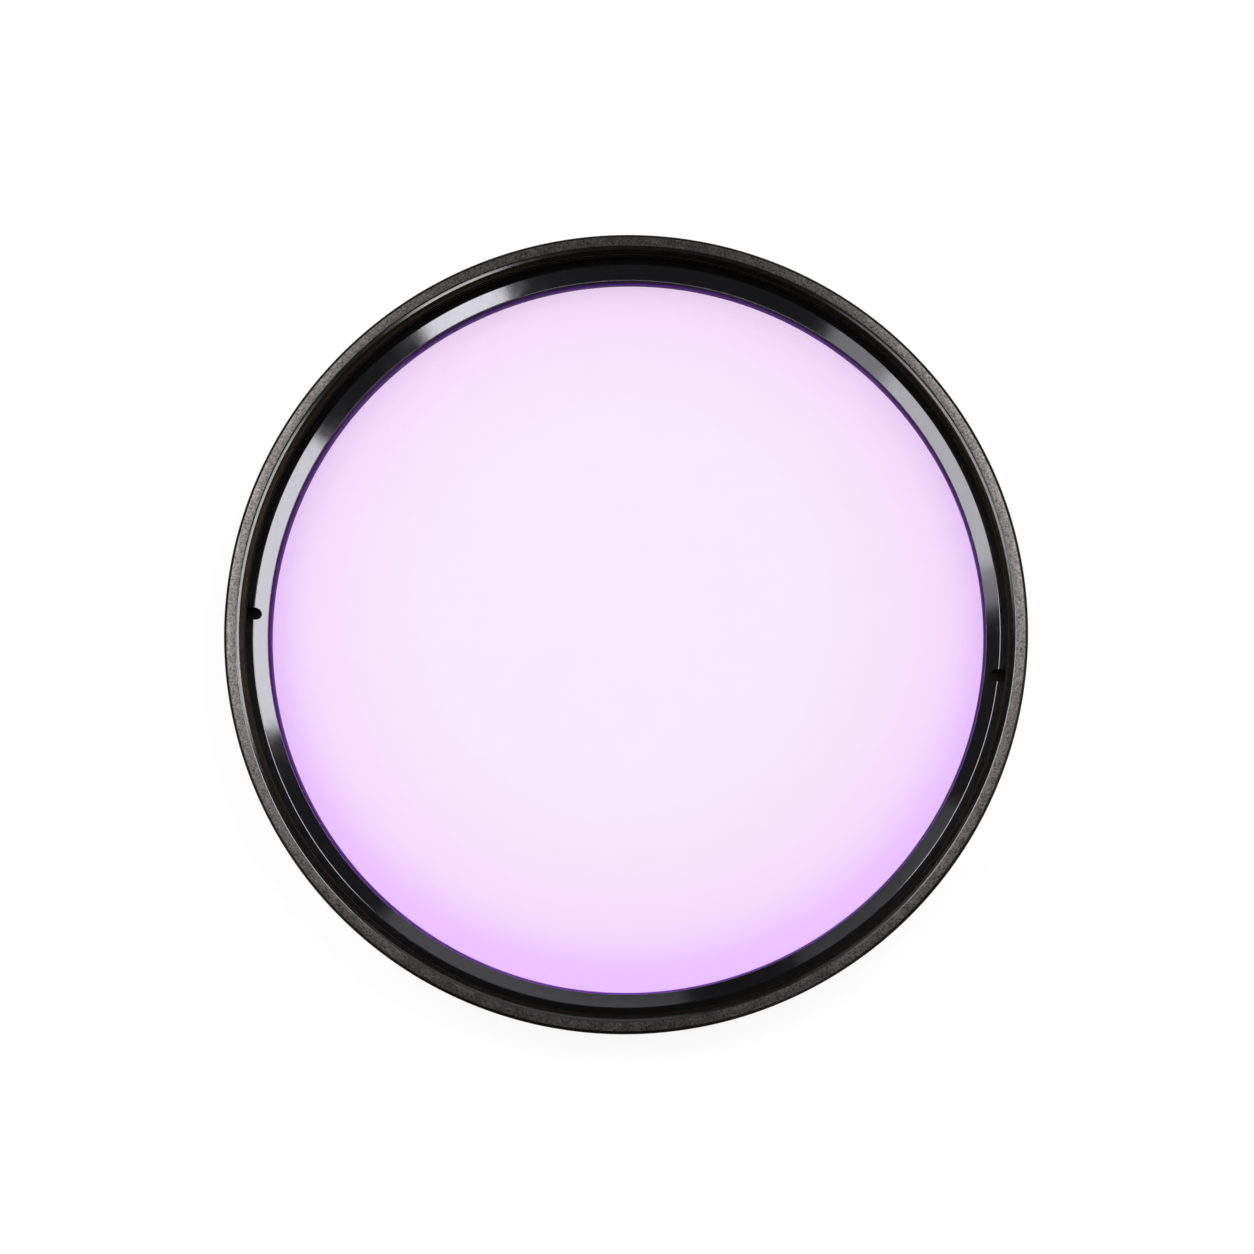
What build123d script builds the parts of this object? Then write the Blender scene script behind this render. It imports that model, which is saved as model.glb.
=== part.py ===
from build123d import *
from math import cos, radians, sin
import os

# Screw-in camera filter for fluorescent light, in millimetres.
# The rear face of the male thread lies on z = 0 and the front of the filter faces +Z.

# Standard thread, the same at both ends
thread_diameter = 77.0
thread_pitch = 0.75
male_thread_allowance = 0.05

# Frame: heights above and below the shoulder, and the wall outside the thread
body_height = 5.2
male_thread_length = 2.4
rim_wall = 1.5

# Frame: front rim and shoulder
rim_edge_chamfer = 0.3
lead_in_width = 0.26
shoulder_chamfer = 0.3

# Frame: grip band, a straight knurl between two plain lips, with a groove at each end
front_lip_height = 1.0
rear_lip_height = 0.8
grip_groove_width = 0.3
grip_groove_depth = 0.4
knurl_recess = 0.1
knurl_depth = 0.22
knurl_teeth = 240
knurl_crest_share = 0.35

# Frame: rear male thread and the bore inside it
relief_groove_width = 0.45
relief_groove_depth = 0.55
thread_end_chamfer = 0.4
spigot_wall = 1.85
rear_bore_chamfer = 0.3

# Retaining ring, from the crest of the female thread inwards and from the rim down
ring_depth_below_rim = 2.5
ring_flat_width = 0.7
ring_bevel_width = 1.17
ring_bevel_drop = 1.1
ring_lip_height = 0.4
ring_edge_chamfer = 0.12
ring_top_clearance = 0.05

# Spanner notches of the retaining ring
notch_width = 1.22
notch_depth = 1.0
notch_length = 1.4
notch_angles = (0.0, 183.9)

# Glass, and the pocket and flange that hold it
glass_thickness = 1.85
glass_cover = 0.8
glass_edge_chamfer = 0.15
glass_clearance = 0.15
pocket_stand_off = 0.15
flange_overhang = 0.3
flange_thickness = 0.7

# Heights, counted up from the rear face
shoulder_z = male_thread_length
front_z = shoulder_z + body_height
ring_top_z = front_z - ring_depth_below_rim
bevel_low_z = ring_top_z - ring_bevel_drop
notch_floor_z = ring_top_z - notch_depth
glass_front_z = bevel_low_z - ring_lip_height
pocket_top_z = glass_front_z - pocket_stand_off
seat_z = glass_front_z - glass_thickness
flange_rear_z = seat_z - flange_thickness
grip_rear_z = shoulder_z + rear_lip_height
grip_front_z = front_z - front_lip_height
knurl_rear_z = grip_rear_z + grip_groove_width
knurl_length = grip_front_z - grip_groove_width - knurl_rear_z

# Radii of the threads: nominal, and the crests that a mating thread meets
thread_radius = thread_diameter / 2
male_crest_radius = thread_radius - male_thread_allowance
female_crest_radius = (thread_diameter - 1.0825 * thread_pitch) / 2

# Radii of the frame, the retaining ring and the glass
outer_radius = thread_radius + rim_wall
groove_radius = outer_radius - grip_groove_depth
knurl_crest_radius = outer_radius - knurl_recess
knurl_root_radius = knurl_crest_radius - knurl_depth
lead_in_radius = thread_radius + lead_in_width
lead_in_drop = lead_in_radius - female_crest_radius
relief_radius = male_crest_radius - relief_groove_depth
rear_bore_radius = male_crest_radius - spigot_wall
ring_flat_inner_radius = female_crest_radius - ring_flat_width
ring_bore_radius = ring_flat_inner_radius - ring_bevel_width
glass_radius = ring_bore_radius + glass_cover
pocket_radius = glass_radius + glass_clearance
aperture_radius = ring_bore_radius - flange_overhang

os.makedirs("parts", exist_ok=True)

# Frame: one turned aluminium ring. The turns of the threads are left out. Where a mate screws
# on, the wall stands at the thread's crest. Behind that, where the retaining ring is screwed
# in, it stands at the thread's root.
with BuildPart() as frame_ring:
    with BuildSketch(Plane.XZ):
        with BuildLine():
            outside = Polyline(
                (rear_bore_radius + rear_bore_chamfer, 0),
                (male_crest_radius - thread_end_chamfer, 0),
                (male_crest_radius, thread_end_chamfer),
                (male_crest_radius, shoulder_z - relief_groove_width - relief_groove_depth),
                (relief_radius, shoulder_z - relief_groove_width),
                (relief_radius, shoulder_z),
                (outer_radius - shoulder_chamfer, shoulder_z),
                (outer_radius, shoulder_z + shoulder_chamfer),
                (outer_radius, grip_rear_z),
                (groove_radius, grip_rear_z),
                (groove_radius, grip_front_z),
                (outer_radius, grip_front_z),
                (outer_radius, front_z - rim_edge_chamfer),
                (outer_radius - rim_edge_chamfer, front_z),
                (lead_in_radius, front_z),
            )
            Polyline(
                outside @ 1,
                (female_crest_radius, front_z - lead_in_drop),
                (female_crest_radius, ring_top_z + ring_top_clearance),
                (thread_radius, ring_top_z + ring_top_clearance),
                (thread_radius, pocket_top_z),
                (pocket_radius, pocket_top_z),
                (pocket_radius, seat_z),
                (aperture_radius, seat_z),
                (aperture_radius, flange_rear_z),
                (rear_bore_radius, flange_rear_z),
                (rear_bore_radius, rear_bore_chamfer),
                outside @ 0,
            )
        make_face()
    revolve(axis=Axis.Z)

    # The knurl is a toothed band: each tooth has a flat crest and a sharp root on either side
    tooth_angle = 360 / knurl_teeth
    tooth_corners = (
        (knurl_root_radius, 0),
        (knurl_crest_radius, (1 - knurl_crest_share) / 2),
        (knurl_crest_radius, (1 + knurl_crest_share) / 2),
    )
    knurl_outline = [
        (radius * cos(radians(angle)), radius * sin(radians(angle)))
        for tooth in range(knurl_teeth)
        for radius, share in tooth_corners
        for angle in [(tooth + share) * tooth_angle]
    ]
    with BuildSketch(Plane.XY.offset(knurl_rear_z)):
        with BuildLine():
            Polyline(*knurl_outline, close=True)
        make_face()
        Circle(groove_radius - grip_groove_depth, mode=Mode.SUBTRACT)
    extrude(amount=knurl_length)
frame_ring.part.label = "frame_ring"

# Filter glass: one plane-parallel disc, dyed in the mass, with its ground edge broken
with BuildPart() as filter_glass:
    with BuildSketch(Plane.XY.offset(seat_z)):
        Circle(glass_radius)
    extrude(amount=glass_thickness)
    chamfer(filter_glass.edges().filter_by(GeomType.CIRCLE), length=glass_edge_chamfer)
filter_glass.part.label = "filter_glass"

# Retaining ring: screwed down on the glass, with a flat outer band, a wide polished bevel
# down to the bore, and two spanner notches that run in from its outer edge
with BuildPart() as retaining_ring:
    with BuildSketch(Plane.XZ):
        with BuildLine():
            Polyline(
                (ring_bore_radius, glass_front_z),
                (male_crest_radius - ring_edge_chamfer, glass_front_z),
                (male_crest_radius, glass_front_z + ring_edge_chamfer),
                (male_crest_radius, ring_top_z - ring_edge_chamfer),
                (male_crest_radius - ring_edge_chamfer, ring_top_z),
                (ring_flat_inner_radius, ring_top_z),
                (ring_bore_radius, bevel_low_z),
                close=True,
            )
        make_face()
    revolve(axis=Axis.Z)

    # Each notch has a flat floor and a full round at its inner end
    notch_round_radius = notch_width / 2
    notch_round_centre = female_crest_radius - notch_length + notch_round_radius
    with BuildSketch(Plane.XY.offset(notch_floor_z)):
        for notch_angle in notch_angles:
            with PolarLocations(notch_round_centre, 1, start_angle=notch_angle):
                Circle(notch_round_radius)
                Rectangle(
                    outer_radius - notch_round_centre,
                    notch_width,
                    align=(Align.MIN, Align.CENTER),
                )
    extrude(amount=notch_depth, mode=Mode.SUBTRACT)
retaining_ring.part.label = "retaining_ring"

export_step(frame_ring.part, "parts/frame_ring.step")
export_step(filter_glass.part, "parts/filter_glass.step")
export_step(retaining_ring.part, "parts/retaining_ring.step")
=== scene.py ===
from math import atan2, cos, hypot, pi, radians, sin, tan

import bmesh
import bpy
from mathutils import Matrix, Vector


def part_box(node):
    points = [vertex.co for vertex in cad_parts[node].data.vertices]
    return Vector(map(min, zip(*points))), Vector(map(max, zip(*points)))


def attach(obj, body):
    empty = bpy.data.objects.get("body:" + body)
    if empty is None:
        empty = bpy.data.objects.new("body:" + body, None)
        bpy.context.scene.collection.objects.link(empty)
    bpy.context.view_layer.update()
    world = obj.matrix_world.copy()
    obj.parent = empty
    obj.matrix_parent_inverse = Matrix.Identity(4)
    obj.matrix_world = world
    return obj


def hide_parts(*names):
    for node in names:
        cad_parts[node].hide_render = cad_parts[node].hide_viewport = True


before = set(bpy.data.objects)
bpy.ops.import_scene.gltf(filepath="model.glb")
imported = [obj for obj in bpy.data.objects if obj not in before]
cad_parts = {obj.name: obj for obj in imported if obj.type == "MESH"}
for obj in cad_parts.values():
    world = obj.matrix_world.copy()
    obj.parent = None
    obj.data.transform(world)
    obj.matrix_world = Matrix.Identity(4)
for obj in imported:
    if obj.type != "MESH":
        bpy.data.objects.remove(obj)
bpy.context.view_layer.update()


# Frame ring: the body of the filter, one aluminium ring turned on a lathe and anodised black.
# It has the front rim, a thread for the next filter, a knurled grip and a male thread behind.
# The ring is turned first, then the grip is knurled, and the two threads are cut last.
mm = 0.001
_, frame_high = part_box("frame_ring")
_, ring_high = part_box("retaining_ring")
glass_low, glass_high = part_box("filter_glass")

outer_radius = frame_high.x
front = frame_high.z
rim_wall = 1.5 * mm
rim_chamfer = 0.3 * mm
lead_in_width = 0.26 * mm
shoulder = 2.4 * mm
shoulder_chamfer = 0.3 * mm
rear_lip = 0.8 * mm
front_lip = 1.0 * mm
grip_rear = shoulder + rear_lip
grip_front = front - front_lip
grip_groove = 0.3 * mm
grip_groove_depth = 0.4 * mm
groove_radius = outer_radius - grip_groove_depth
knurl_recess = 0.1 * mm
knurl_depth = 0.22 * mm
knurl_crest = outer_radius - knurl_recess
knurl_root = knurl_crest - knurl_depth
knurl_teeth = 240
steps_round = 3 * knurl_teeth
edge_break = 0.06 * mm
lead_in_break = 0.08 * mm

thread_radius = outer_radius - rim_wall
thread_pitch = 0.75 * mm
thread_angle = 60
female_depth = 0.5413 * thread_pitch
male_allowance = 0.05 * mm
male_crest = thread_radius - male_allowance
female_crest = thread_radius - female_depth
lead_in_radius = thread_radius + lead_in_width
lead_in_drop = lead_in_radius - female_crest
thread_end_chamfer = 0.4 * mm
relief_width = 0.45 * mm
relief_depth = 0.55 * mm
relief_radius = male_crest - relief_depth

spigot_wall = 1.85 * mm
bore_chamfer = 0.3 * mm
rear_bore = male_crest - spigot_wall
ring_gap = 0.05 * mm
seat_gap = 0.01 * mm
glass_clearance = 0.15 * mm
pocket_stand_off = 0.15 * mm
flange_thickness = 0.7 * mm
flange_width = 1.1 * mm
pocket_radius = glass_high.x + glass_clearance
pocket_top = glass_high.z - pocket_stand_off
seat = glass_low.z - seat_gap
flange_rear = glass_low.z - flange_thickness
aperture_radius = glass_high.x - flange_width

# Corners closer than tiny are one corner. A place within slack of an edge is on that edge.
tiny = 1e-6
slack = 0.003 * mm


def turn(name, section, steps):
    """Turns a ring: a circle is drawn out from corner to corner of its section, and closed."""
    bpy.ops.object.select_all(action="DESELECT")
    radius, height = section[0]
    bpy.ops.mesh.primitive_circle_add(vertices=steps, radius=radius)
    ring = bpy.context.object
    ring.name = name
    bpy.ops.object.mode_set(mode="EDIT")
    bpy.ops.mesh.select_all(action="SELECT")
    bpy.ops.transform.translate(value=(0, 0, height))
    for next_radius, next_height in section[1:] + section[:1]:
        growth = next_radius / radius
        bpy.ops.mesh.extrude_edges_move()
        bpy.ops.transform.resize(value=(growth, growth, 1), center_override=(0, 0, height))
        bpy.ops.transform.translate(value=(0, 0, next_height - height))
        radius, height = next_radius, next_height
    bpy.ops.mesh.select_all(action="SELECT")
    bpy.ops.mesh.remove_doubles(threshold=tiny)
    bpy.ops.mesh.normals_make_consistent(inside=False)
    bpy.ops.object.mode_set(mode="OBJECT")
    return ring


def pick(piece, mode, wanted):
    """Selects the vertices, edges or faces of a piece whose corners wanted says yes to."""
    bpy.ops.object.select_all(action="DESELECT")
    bpy.context.view_layer.objects.active = piece
    piece.select_set(True)
    bpy.ops.object.mode_set(mode="EDIT")
    bpy.ops.mesh.select_mode(type=mode)
    bpy.ops.mesh.select_all(action="DESELECT")
    mesh = bmesh.from_edit_mesh(piece.data)
    for part in {"VERT": mesh.verts, "EDGE": mesh.edges, "FACE": mesh.faces}[mode]:
        points = [part.co] if mode == "VERT" else [corner.co for corner in part.verts]
        if wanted(points):
            part.select_set(True)
    mesh.select_flush_mode()
    bmesh.update_edit_mesh(piece.data)


def near(points, radius, height):
    """True if all points lie on the circle of that radius at that height."""
    return all(
        abs(hypot(point.x, point.y) - radius) < slack and abs(point.z - height) < slack
        for point in points
    )


def break_edges(piece, corners, width):
    """Rounds the edges that run round a turned piece at the given corners of its section."""
    pick(piece, "EDGE", lambda points: any(near(points, *corner) for corner in corners))
    bpy.ops.mesh.bevel(offset=width, segments=3, profile=0.5)
    bpy.ops.object.mode_set(mode="OBJECT")


def cut(piece, cutter):
    """Takes the cutter's shape out of a piece, and removes the cutter and the slot it brings."""
    bpy.ops.object.select_all(action="DESELECT")
    bpy.context.view_layer.objects.active = piece
    piece.select_set(True)
    removal = piece.modifiers.new("removal", "BOOLEAN")
    removal.operation = "DIFFERENCE"
    removal.solver = "MANIFOLD"
    removal.object = cutter
    bpy.ops.object.modifier_apply(modifier=removal.name)
    bpy.data.objects.remove(cutter)
    piece.data.materials.clear()


def thread_tool(name, open_radius, root_radius, low, turns):
    """The helical groove of a thread, as a closed bar to be cut out of a ring."""
    bpy.ops.object.select_all(action="DESELECT")
    bpy.ops.mesh.primitive_plane_add(size=1, rotation=(pi / 2, 0, 0))
    tool = bpy.context.object
    tool.name = name
    bpy.ops.object.transform_apply(rotation=True)
    root_width = thread_pitch / 8
    depth = abs(root_radius - open_radius)
    open_width = root_width + 2 * depth * tan(radians(thread_angle / 2))
    middle = (open_radius + root_radius) / 2
    bpy.ops.object.mode_set(mode="EDIT")
    bpy.ops.mesh.select_all(action="SELECT")
    bpy.ops.transform.resize(value=(depth, 1, open_width))
    bpy.ops.transform.translate(value=(middle, 0, low))
    bpy.ops.object.mode_set(mode="OBJECT")
    root_side = 1 if root_radius > open_radius else -1
    pick(tool, "VERT", lambda points: (points[0].x - middle) * root_side > 0)
    bpy.ops.transform.resize(
        value=(1, 1, root_width / open_width), center_override=(root_radius, 0, low)
    )
    bpy.ops.object.mode_set(mode="OBJECT")
    helix = tool.modifiers.new("helix", "SCREW")
    helix.screw_offset = thread_pitch
    helix.iterations = turns
    helix.steps = helix.render_steps = steps_round // 2
    bpy.ops.object.modifier_apply(modifier=helix.name)
    bpy.ops.object.mode_set(mode="EDIT")
    bpy.ops.mesh.select_all(action="DESELECT")
    bpy.ops.mesh.select_non_manifold(use_multi_face=False, use_non_contiguous=False)
    bpy.ops.mesh.edge_face_add()
    bpy.ops.mesh.select_all(action="SELECT")
    bpy.ops.mesh.normals_make_consistent(inside=False)
    bpy.ops.object.mode_set(mode="OBJECT")
    return tool


def give_material(piece, slot_number, wanted):
    """Gives the faces whose middle is where wanted says the material in that slot."""
    pick(piece, "FACE", lambda points: wanted(sum(points, Vector()) / len(points)))
    piece.active_material_index = slot_number
    bpy.ops.object.material_slot_assign()
    bpy.ops.object.mode_set(mode="OBJECT")


def finish_shading(piece, sharp_angle):
    """Smooths a piece round its turning, with its edges crisp and its flats left flat."""
    bpy.ops.object.select_all(action="DESELECT")
    bpy.context.view_layer.objects.active = piece
    piece.select_set(True)
    bpy.ops.object.shade_smooth_by_angle(angle=radians(sharp_angle))
    weights = piece.modifiers.new("flats", "WEIGHTED_NORMAL")
    weights.keep_sharp = True
    bpy.ops.object.modifier_apply(modifier=weights.name)


frame_ring = turn(
    "frame_ring_turned",
    [
        (rear_bore + bore_chamfer, 0),
        (male_crest - thread_end_chamfer, 0),
        (male_crest, thread_end_chamfer),
        (male_crest, shoulder - relief_width - relief_depth),
        (relief_radius, shoulder - relief_width),
        (relief_radius, shoulder),
        (outer_radius - shoulder_chamfer, shoulder),
        (outer_radius, shoulder + shoulder_chamfer),
        (outer_radius, grip_rear),
        (groove_radius, grip_rear),
        (groove_radius, grip_rear + grip_groove),
        (knurl_crest, grip_rear + grip_groove),
        (knurl_crest, grip_front - grip_groove),
        (groove_radius, grip_front - grip_groove),
        (groove_radius, grip_front),
        (outer_radius, grip_front),
        (outer_radius, front - rim_chamfer),
        (outer_radius - rim_chamfer, front),
        (lead_in_radius, front),
        (thread_radius, front - lead_in_radius + thread_radius),
        (female_crest, front - lead_in_drop),
        (female_crest, ring_high.z + ring_gap),
        (thread_radius, ring_high.z + ring_gap),
        (thread_radius, pocket_top),
        (pocket_radius, pocket_top),
        (pocket_radius, seat),
        (aperture_radius, seat),
        (aperture_radius, flange_rear),
        (rear_bore, flange_rear),
        (rear_bore, bore_chamfer),
    ],
    steps_round,
)
break_edges(frame_ring, [(lead_in_radius, front)], lead_in_break)
break_edges(
    frame_ring,
    [
        (outer_radius - rim_chamfer, front),
        (outer_radius, front - rim_chamfer),
        (outer_radius, grip_front),
        (outer_radius, grip_rear),
        (outer_radius, shoulder + shoulder_chamfer),
        (aperture_radius, seat),
    ],
    edge_break,
)

# Each tooth of the grip is three vertices wide: every third one is pressed in to the root
tooth_angle = 2 * pi / knurl_teeth


def in_root(points):
    turned = atan2(points[0].y, points[0].x) / tooth_angle
    on_crest = abs(hypot(points[0].x, points[0].y) - knurl_crest) < slack
    return on_crest and abs(turned - round(turned)) < 0.1


pick(frame_ring, "VERT", in_root)
root_share = knurl_root / knurl_crest
bpy.ops.transform.resize(value=(root_share, root_share, 1), center_override=(0, 0, 0))
bpy.ops.object.mode_set(mode="OBJECT")

# Each thread's groove starts outside its wall, and runs out past both of its ends
run_in = 0.1 * mm
female_root = thread_radius - 0.02 * mm
female_low = ring_high.z - thread_pitch / 2
female_turns = 4
male_root = male_crest - 0.46 * mm
male_low = -0.5 * mm
male_turns = 3
cut(
    frame_ring,
    thread_tool("front_thread", female_crest - run_in, female_root, female_low, female_turns),
)
cut(
    frame_ring,
    thread_tool("rear_thread", male_crest + run_in, male_root, male_low, male_turns),
)
finish_shading(frame_ring, sharp_angle=30)


def add(tree, kind, inputs=(), **settings):
    """Adds a shader node. An input is a value, or the output of another node to link."""
    node = tree.nodes.new("ShaderNode" + kind)
    for name, value in settings.items():
        setattr(node, name, value)
    for name, value in dict(inputs).items():
        if isinstance(value, bpy.types.NodeSocket):
            tree.links.new(value, node.inputs[name])
        else:
            node.inputs[name].default_value = value
    return node


def new_material(name):
    """An empty node material and its output node."""
    material = bpy.data.materials.new(name)
    material.use_nodes = True
    material.node_tree.nodes.clear()
    return material, material.node_tree, add(material.node_tree, "OutputMaterial")


def from_axis(tree, place, middle=(0, 0, 0)):
    """The distance of a place from the upright line through the middle."""
    offset = add(tree, "VectorMath", {0: place, 1: middle}, operation="SUBTRACT")
    flat = add(tree, "VectorMath", {0: offset.outputs[0], 1: (1, 1, 0)}, operation="MULTIPLY")
    return add(tree, "VectorMath", {0: flat.outputs[0]}, operation="LENGTH").outputs["Value"]


def spread_over(tree, value, low, high, start=0.0, end=1.0):
    """Maps a value that runs from low to high to one that runs from start to end."""
    inputs = {"Value": value, "From Min": low, "From Max": high, "To Min": start, "To Max": end}
    return add(tree, "MapRange", inputs).outputs["Result"]


def colour_ramp(tree, factor, stops):
    """Colours along a factor, given as pairs of a position and a colour."""
    ramp = add(tree, "ValToRGB", {"Fac": factor})
    elements = ramp.color_ramp.elements
    elements[0].position = stops[0][0]
    elements[-1].position = stops[-1][0]
    for position, _ in stops[1:-1]:
        elements.new(position)
    for element, (_, colour) in zip(elements, stops):
        element.color = (*colour, 1)
    return ramp.outputs["Color"]


speckles_per_metre = 4500
clouds_per_metre = 900
tool_marks_per_metre = 14000
noise_low, noise_high = 0.3, 0.7


def black_anodising(
    name, colour, mottle, metallic, ior, roughness, spread, grain, marks, anisotropy
):
    """Dyed anodising on turned aluminium: a dark skin over fine grain and round tool marks."""
    material, tree, output = new_material(name)
    place = add(tree, "TexCoord").outputs["Object"]
    speckle = add(
        tree,
        "TexNoise",
        {"Vector": place, "Scale": speckles_per_metre, "Detail": 3, "Roughness": 0.6},
    )
    cloud = add(tree, "TexNoise", {"Vector": place, "Scale": clouds_per_metre, "Detail": 2})
    dark = [channel * (1 - mottle) for channel in colour]
    light = [channel * (1 + mottle) for channel in colour]
    tone = colour_ramp(tree, speckle.outputs["Fac"], [(noise_low, dark), (noise_high, light)])
    gloss = spread_over(
        tree, cloud.outputs["Fac"], noise_low, noise_high, roughness - spread, roughness + spread
    )
    across = add(
        tree,
        "Math",
        {0: from_axis(tree, place), 1: tool_marks_per_metre},
        operation="MULTIPLY",
    )
    tool_marks = add(
        tree,
        "TexNoise",
        {"W": across.outputs[0], "Scale": 1.0, "Detail": 2},
        noise_dimensions="1D",
    )
    grain_bump = add(
        tree,
        "Bump",
        {"Height": speckle.outputs["Fac"], "Strength": 1.0, "Distance": grain},
    )
    mark_bump = add(
        tree,
        "Bump",
        {
            "Height": tool_marks.outputs["Fac"],
            "Strength": 1.0,
            "Distance": marks,
            "Normal": grain_bump.outputs["Normal"],
        },
    )
    # The tool marks run round the axis. The quarter turn of the anisotropy makes them spread
    # each highlight across the marks, which is in and out along the radius.
    around = add(tree, "Tangent", direction_type="RADIAL", axis="Z")
    skin = add(
        tree,
        "BsdfPrincipled",
        {
            "Base Color": tone,
            "Roughness": gloss,
            "Metallic": metallic,
            "IOR": ior,
            "Anisotropic": anisotropy,
            "Anisotropic Rotation": 0.25,
            "Tangent": around.outputs["Tangent"],
            "Normal": mark_bump.outputs["Normal"],
        },
    )
    tree.links.new(skin.outputs["BSDF"], output.inputs["Surface"])
    return material


frame_ring.data.materials.append(
    black_anodising(
        "satin_black_anodising",
        colour=(0.124, 0.115, 0.113),
        mottle=0.7,
        metallic=0.96,
        ior=1.5,
        roughness=0.37,
        spread=0.07,
        grain=0.004 * mm,
        marks=0.001 * mm,
        anisotropy=0.78,
    )
)
# A darker copy of the anodising, painted shade for the hollow of the front thread and for the rim
# chamfer
frame_ring.data.materials.append(
    black_anodising(
        "painted_shade_black_anodising",
        colour=(0.016, 0.013, 0.010),
        mottle=0.4,
        metallic=1.0,
        ior=1.5,
        roughness=0.4,
        spread=0.06,
        grain=0.004 * mm,
        marks=0.0,
        anisotropy=0.0,
    )
)
frame_ring.data.materials.append(
    black_anodising(
        "cut_edge_black",
        colour=(0.100, 0.096, 0.098),
        mottle=0.2,
        metallic=1.0,
        ior=1.5,
        roughness=0.18,
        spread=0.03,
        grain=0.002 * mm,
        marks=0.0,
        anisotropy=0.0,
    )
)


def in_front_thread(middle):
    return hypot(middle.x, middle.y) < thread_radius and middle.z > glass_high.z


def on_rim_chamfer(middle):
    margin = 0.02 * mm
    beside_flat = hypot(middle.x, middle.y) > outer_radius - rim_chamfer + margin
    return beside_flat and front - rim_chamfer - edge_break < middle.z < front - margin


def on_lead_in(middle):
    outside_thread = thread_radius < hypot(middle.x, middle.y) < lead_in_radius + lead_in_break
    return outside_thread and middle.z > grip_front


# The front thread and the rim chamfer get the darker copy, as painted shade
give_material(frame_ring, 1, in_front_thread)
give_material(frame_ring, 1, on_rim_chamfer)
give_material(frame_ring, 2, on_lead_in)
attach(frame_ring, "root")
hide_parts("frame_ring")


# Filter glass: one plane-parallel disc, dyed pale magenta right through, with a ground edge.
# It lies on the flange inside the frame ring. Where it bears on the flange, its rear face is
# painted: violet beside the opening, a painted highlight of the flange's lit edge, and black
# further out, painted shade under the retaining ring.
glass_radius = glass_high.x
glass_thickness = glass_high.z - glass_low.z
glass_chamfer = 0.15 * mm
flat_margin = 0.2 * mm
painted_glow_width = 0.25 * mm

bpy.ops.object.select_all(action="DESELECT")
bpy.ops.mesh.primitive_cylinder_add(
    vertices=360,
    radius=glass_radius,
    depth=glass_thickness,
    location=(0, 0, (glass_low.z + glass_high.z) / 2),
)
filter_glass = bpy.context.object
filter_glass.name = "filter_glass_disc"
bpy.ops.object.transform_apply(location=True)
pick(
    filter_glass,
    "EDGE",
    lambda points: any(near(points, glass_radius, z) for z in (glass_low.z, glass_high.z)),
)
bpy.ops.mesh.bevel(offset=glass_chamfer, segments=1)
bpy.ops.object.mode_set(mode="OBJECT")

# The clear part of the rear face is drawn in from its edge, up to the flange's opening. The
# front face gets a narrow border, which keeps its shading level.
glass_insets = (
    (glass_low.z, glass_radius - glass_chamfer - aperture_radius),
    (glass_high.z, flat_margin),
)
for height, width in glass_insets:
    pick(filter_glass, "FACE", lambda points: all(abs(point.z - height) < tiny for point in points))
    bpy.ops.mesh.inset(thickness=width)
    bpy.ops.object.mode_set(mode="OBJECT")
finish_shading(filter_glass, sharp_angle=30)


def dyed_glass_with_painted_shade(name, middle, dye_and_shade_rings):
    """Clear glass with a pale dye, which lets tinted light through to what it shadows. Towards its
    rim the dye deepens as painted shade.
    """
    material, tree, output = new_material(name)
    place = add(tree, "TexCoord").outputs["Object"]
    inner, outer = dye_and_shade_rings[0][0], dye_and_shade_rings[-1][0]
    outward = spread_over(tree, from_axis(tree, place, middle), inner, outer)
    stops = [((ring - inner) / (outer - inner), colour) for ring, colour in dye_and_shade_rings]
    dye_and_shade = colour_ramp(tree, outward, stops)
    glass = add(
        tree,
        "BsdfPrincipled",
        {
            "Base Color": dye_and_shade,
            "Roughness": 0.0,
            "IOR": 1.52,
            "Transmission Weight": 1.0,
        },
    )
    clear = add(tree, "BsdfTransparent", {"Color": dye_and_shade})
    ray = add(tree, "LightPath")
    mix = add(
        tree,
        "MixShader",
        {0: ray.outputs["Is Shadow Ray"], 1: glass.outputs[0], 2: clear.outputs[0]},
    )
    tree.links.new(mix.outputs[0], output.inputs["Surface"])
    return material


def painted_glow_and_shade_edge(name, inner, outer, violet, shade_black):
    """Paint on the glass where it bears on the flange: a violet painted highlight beside the clear
    opening, running out to black painted shade.
    """
    material, tree, output = new_material(name)
    place = add(tree, "TexCoord").outputs["Object"]
    outward = spread_over(tree, from_axis(tree, place), inner, outer)
    glow = colour_ramp(tree, outward, [(0, violet), (1, shade_black)])
    painted_edge = add(tree, "BsdfPrincipled", {"Base Color": glow, "Roughness": 0.6})
    tree.links.new(painted_edge.outputs["BSDF"], output.inputs["Surface"])
    return material


# The dye is even over most of the disc. Beside the frame it deepens to lavender, which is painted
# shade:
# the frame's shadow on the table seen through the glass. It is a little deeper on the side nearer
# to the camera.
painted_shade_middle = (-0.3 * mm, 2.5 * mm, 0)
dye_and_shade_rings = [
    (20.0 * mm, (0.848, 0.760, 0.870)),
    (28.1 * mm, (0.855, 0.726, 0.880)),
    (31.9 * mm, (0.862, 0.690, 0.890)),
    (33.7 * mm, (0.835, 0.650, 0.905)),
    (34.7 * mm, (0.822, 0.605, 0.925)),
    (36.2 * mm, (0.808, 0.560, 0.950)),
]
filter_glass.data.materials.append(dyed_glass_with_painted_shade("dyed_glass_with_painted_shade", painted_shade_middle, dye_and_shade_rings))
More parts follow.
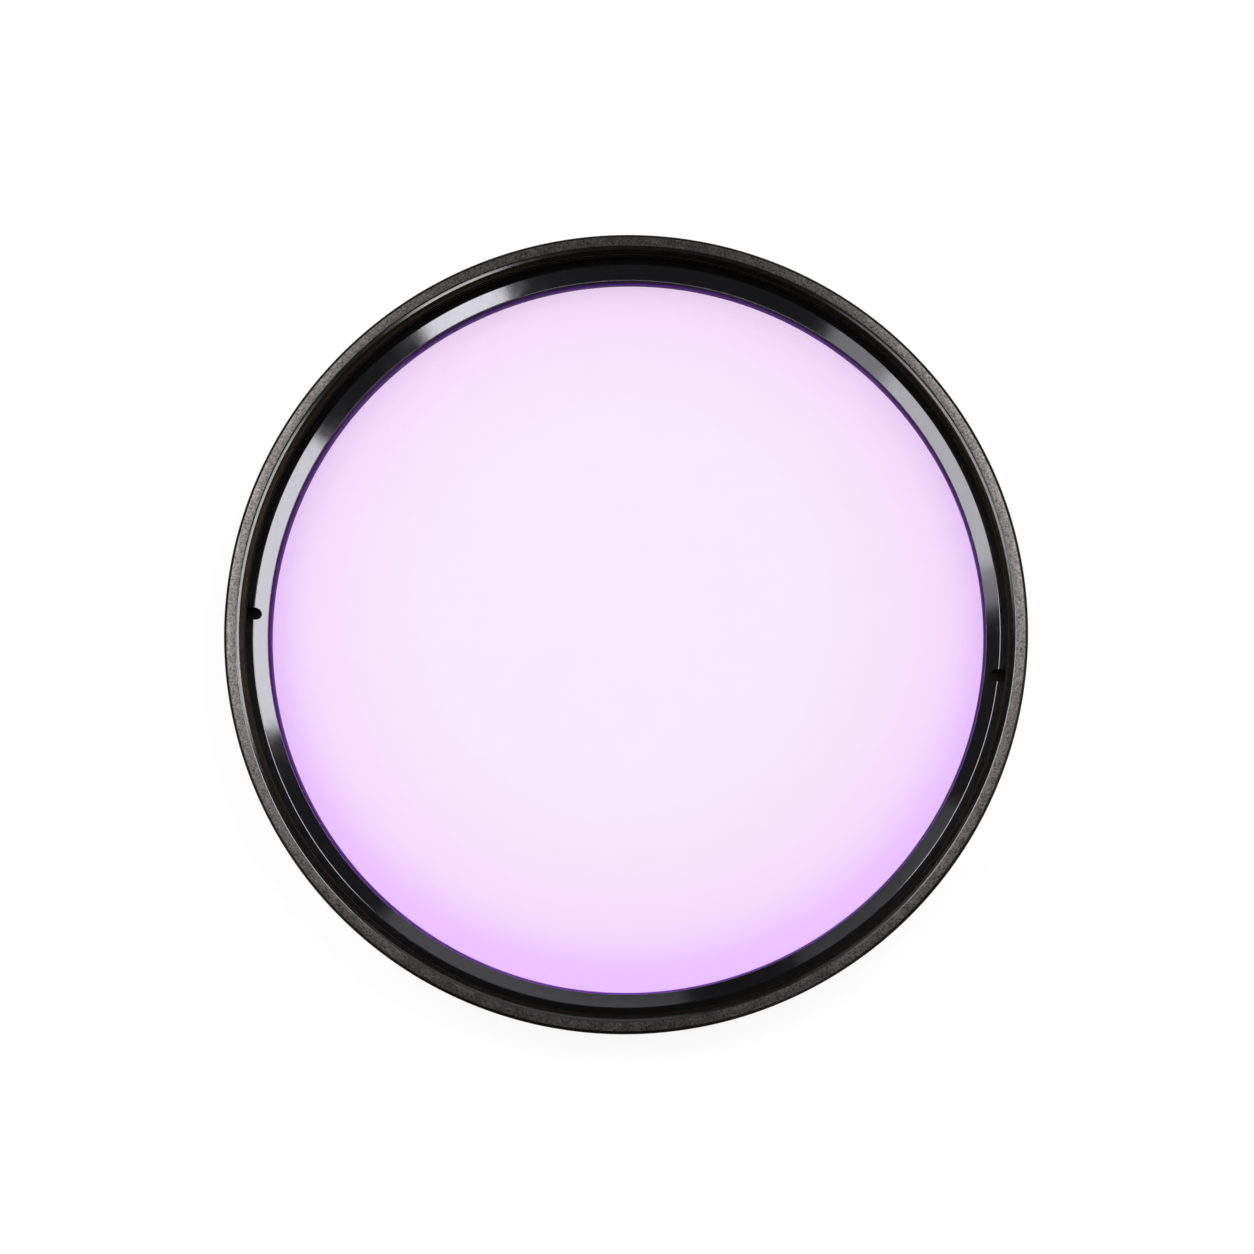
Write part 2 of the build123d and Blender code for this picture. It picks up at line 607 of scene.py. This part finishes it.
# The rim of the glass on the flange gets a painted violet highlight inside and painted black shade
# outside
filter_glass.data.materials.append(
    painted_glow_and_shade_edge(
        "glass_edge_painted_glow_and_shade",
        aperture_radius,
        aperture_radius + painted_glow_width,
        violet=(0.12, 0.004, 0.36),
        shade_black=(0.010, 0.004, 0.012),
    )
)


def bears_on_flange(middle):
    return middle.z < glass_low.z + glass_chamfer and hypot(middle.x, middle.y) > aperture_radius


give_material(filter_glass, 1, bears_on_flange)
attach(filter_glass, "root")
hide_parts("filter_glass")


# Retaining ring: a threaded aluminium ring, screwed down on the glass with a pin spanner.
# Its outer band is blasted and anodised matt black. The wide bevel down to its bore was cut
# with a diamond tool and shines. The two spanner notches were milled into both.
ring_radius = ring_high.x
ring_top = ring_high.z
ring_rear = glass_high.z + seat_gap
flat_width = 0.7 * mm
bevel_width = 1.29 * mm
bevel_drop = 1.21 * mm
bevel_outer = female_crest - flat_width
bevel_inner = bevel_outer - bevel_width
bevel_low = ring_top - bevel_drop
ring_chamfer = 0.12 * mm
ring_break = 0.05 * mm

retaining_ring = turn(
    "retaining_ring_turned",
    [
        (bevel_inner, ring_rear),
        (ring_radius - ring_chamfer, ring_rear),
        (ring_radius, ring_rear + ring_chamfer),
        (ring_radius, ring_top - ring_chamfer),
        (ring_radius - ring_chamfer, ring_top),
        (bevel_outer, ring_top),
        (bevel_inner, bevel_low),
    ],
    steps_round,
)
break_edges(retaining_ring, [(bevel_outer, ring_top), (bevel_inner, bevel_low)], ring_break)

notch_width = 1.22 * mm
notch_depth = 1.0 * mm
notch_length = 1.4 * mm
notch_angles = (0.0, 183.9)
notch_floor = ring_top - notch_depth
notch_centre = female_crest - notch_length + notch_width / 2
mill_length = 2 * mm
for notch_angle in notch_angles:
    bpy.ops.object.select_all(action="DESELECT")
    bpy.ops.mesh.primitive_cylinder_add(
        vertices=48,
        radius=notch_width / 2,
        depth=mill_length,
        location=(notch_centre, 0, notch_floor + mill_length / 2),
    )
    slot_mill = bpy.context.object
    bpy.ops.object.transform_apply(location=True)
    pick(slot_mill, "VERT", lambda points: points[0].x > notch_centre + tiny)
    bpy.ops.transform.translate(value=(mill_length, 0, 0))
    bpy.ops.mesh.select_all(action="SELECT")
    bpy.ops.transform.rotate(
        value=-radians(notch_angle), orient_axis="Z", center_override=(0, 0, 0)
    )
    bpy.ops.object.mode_set(mode="OBJECT")
    cut(retaining_ring, slot_mill)

# The small angle keeps the bevel's shading clean where the notches run into it
finish_shading(retaining_ring, sharp_angle=8)

retaining_ring.data.materials.append(
    black_anodising(
        "matt_black_anodising",
        colour=(0.003, 0.003, 0.003),
        mottle=0.4,
        metallic=0.0,
        ior=1.25,
        roughness=0.3,
        spread=0.05,
        grain=0.003 * mm,
        marks=0.001 * mm,
        anisotropy=0.85,
    )
)
retaining_ring.data.materials.append(
    black_anodising(
        "diamond_cut_black",
        colour=(0.124, 0.122, 0.133),
        mottle=0.03,
        metallic=1.0,
        ior=1.5,
        roughness=0.12,
        spread=0.02,
        grain=0.0003 * mm,
        marks=0.0003 * mm,
        anisotropy=0.0,
    )
)
retaining_ring.data.materials.append(
    black_anodising(
        "milled_notch_black",
        colour=(0.002, 0.002, 0.002),
        mottle=0.4,
        metallic=0.0,
        ior=1.2,
        roughness=0.5,
        spread=0.05,
        grain=0.002 * mm,
        marks=0.0,
        anisotropy=0.0,
    )
)


def on_bevel(middle):
    inside_band = hypot(middle.x, middle.y) < bevel_outer + ring_break / 2
    return inside_band and middle.z > bevel_low - ring_break


def in_notch(middle):
    reach = notch_width / 2 + slack
    for notch_angle in notch_angles:
        along = Matrix.Rotation(radians(-notch_angle), 3, "Z") @ middle
        in_round = hypot(along.x - notch_centre, along.y) < reach
        in_straight = along.x > notch_centre and abs(along.y) < reach
        if in_round or in_straight:
            return notch_floor - slack < middle.z < ring_top - slack
    return False


give_material(retaining_ring, 1, on_bevel)
give_material(retaining_ring, 2, in_notch)
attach(retaining_ring, "root")
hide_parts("retaining_ring")


# Studio: a plain white table that fades into the background and keeps a faint shadow. Soft boxes
# stand low round the filter, three more hang higher, and the camera looks down on it.
table_radius = 0.3
table_drop = 0.01 * mm
table_tone = (0.35, 0.35, 0.35, 1)
shadow_tone = (0.14, 0.14, 0.14, 1)
table_glow = 0.9
room_level = 0.07
white = (1, 1, 1, 1)


def seen_directly(tree):
    """1 for what the camera sees, through the glass too, and 0 for all other rays."""
    ray = add(tree, "LightPath").outputs
    either = {0: ray["Is Camera Ray"], 1: ray["Is Transmission Ray"]}
    return add(tree, "Math", either, operation="MAXIMUM").outputs[0]


bpy.ops.object.select_all(action="DESELECT")
bpy.ops.mesh.primitive_circle_add(
    vertices=96, radius=table_radius, fill_type="NGON", location=(0, 0, -table_drop)
)
table = bpy.context.object
table.name = "white_table"
white_table, tree, output = new_material("white_table")
surface = add(tree, "BsdfDiffuse", {"Color": table_tone})
shadowed = add(tree, "BsdfDiffuse", {"Color": shadow_tone})
glow = add(tree, "Emission", {"Color": white, "Strength": table_glow})
background = add(tree, "AddShader", {0: shadowed.outputs[0], 1: glow.outputs[0]})
mix = add(
    tree,
    "MixShader",
    {0: seen_directly(tree), 1: surface.outputs[0], 2: background.outputs[0]},
)
tree.links.new(mix.outputs[0], output.inputs["Surface"])
table.data.materials.append(white_table)

# The room is dim grey, and white where the camera looks past the table
world = bpy.data.worlds.new("studio")
bpy.context.scene.world = world
world.use_nodes = True
tree = world.node_tree
level = spread_over(tree, seen_directly(tree), 0, 1, room_level, 1)
tree.links.new(level, tree.nodes["Background"].inputs["Strength"])
tree.nodes["Background"].inputs["Color"].default_value = white


def direction(heading, elevation=0):
    """The unit vector towards a heading and an elevation in degrees."""
    flat = cos(radians(elevation))
    return Vector(
        (flat * cos(radians(heading)), flat * sin(radians(heading)), sin(radians(elevation)))
    )


def soft_box(name, heading, elevation, wide, high, radiance, distance=0.6):
    """A soft box that faces the filter. Its place and its size are angles seen from the filter."""
    light = bpy.data.lights.new(name, "AREA")
    light.shape = "RECTANGLE"
    light.size = 2 * distance * tan(radians(wide / 2))
    light.size_y = 2 * distance * tan(radians(high / 2))
    light.energy = radiance * pi * light.size * light.size_y
    box = bpy.data.objects.new(name, light)
    bpy.context.scene.collection.objects.link(box)
    outward = direction(heading, elevation)
    box.location = outward * distance
    box.rotation_mode = "QUATERNION"
    box.rotation_quaternion = outward.to_track_quat("Z", "Y")
    box.visible_camera = False


soft_box("right_box", heading=4.7, elevation=14.5, wide=49, high=18, radiance=4.8)
soft_box("corner_box", heading=-55.8, elevation=17, wide=15.5, high=18, radiance=5.5)
soft_box("left_box", heading=-150.3, elevation=12, wide=52, high=16, radiance=1.3)
soft_box("left_core_box", heading=-153.3, elevation=12, wide=34, high=16, radiance=2.0)
soft_box("high_left_box", heading=159.7, elevation=58, wide=26, high=24, radiance=7.6)
soft_box("high_right_box", heading=41.7, elevation=58, wide=26, high=24, radiance=7.6)
soft_box("back_panel", heading=85.7, elevation=9, wide=44, high=14, radiance=0.45)
soft_box("back_left_panel", heading=138.7, elevation=6, wide=30, high=8, radiance=0.35)
soft_box("back_box", heading=81.7, elevation=42, wide=50, high=16, radiance=0.7)

# The camera stands where the photograph was taken from, turned as the photograph is framed
photo_side = 1254
rim_span = 805.67
rim_centre = (623.88, 628.57)
camera_distance = 330 * mm
camera_elevation = 82.84
camera_heading = -63.4
image_right_heading = 6.7

towards_camera = direction(camera_heading, camera_elevation)
image_right = direction(image_right_heading)
image_right = (image_right - image_right.dot(towards_camera) * towards_camera).normalized()
image_up = towards_camera.cross(image_right)
pixel = 2 * outer_radius / rim_span
aim = Vector((0, 0, front))
aim -= image_right * (rim_centre[0] - photo_side / 2) * pixel
aim += image_up * (rim_centre[1] - photo_side / 2) * pixel

camera_data = bpy.data.cameras.new("camera")
camera_data.sensor_width = 36
camera_data.lens = camera_data.sensor_width * camera_distance / (photo_side * pixel)
camera_data.clip_start, camera_data.clip_end = 0.01, 10
camera = bpy.data.objects.new("camera", camera_data)
bpy.context.scene.collection.objects.link(camera)
turned = Matrix((image_right, image_up, towards_camera)).transposed().to_4x4()
camera.matrix_world = Matrix.Translation(aim + towards_camera * camera_distance) @ turned
bpy.context.scene.camera = camera
bpy.context.scene.view_settings.view_transform = "Standard"
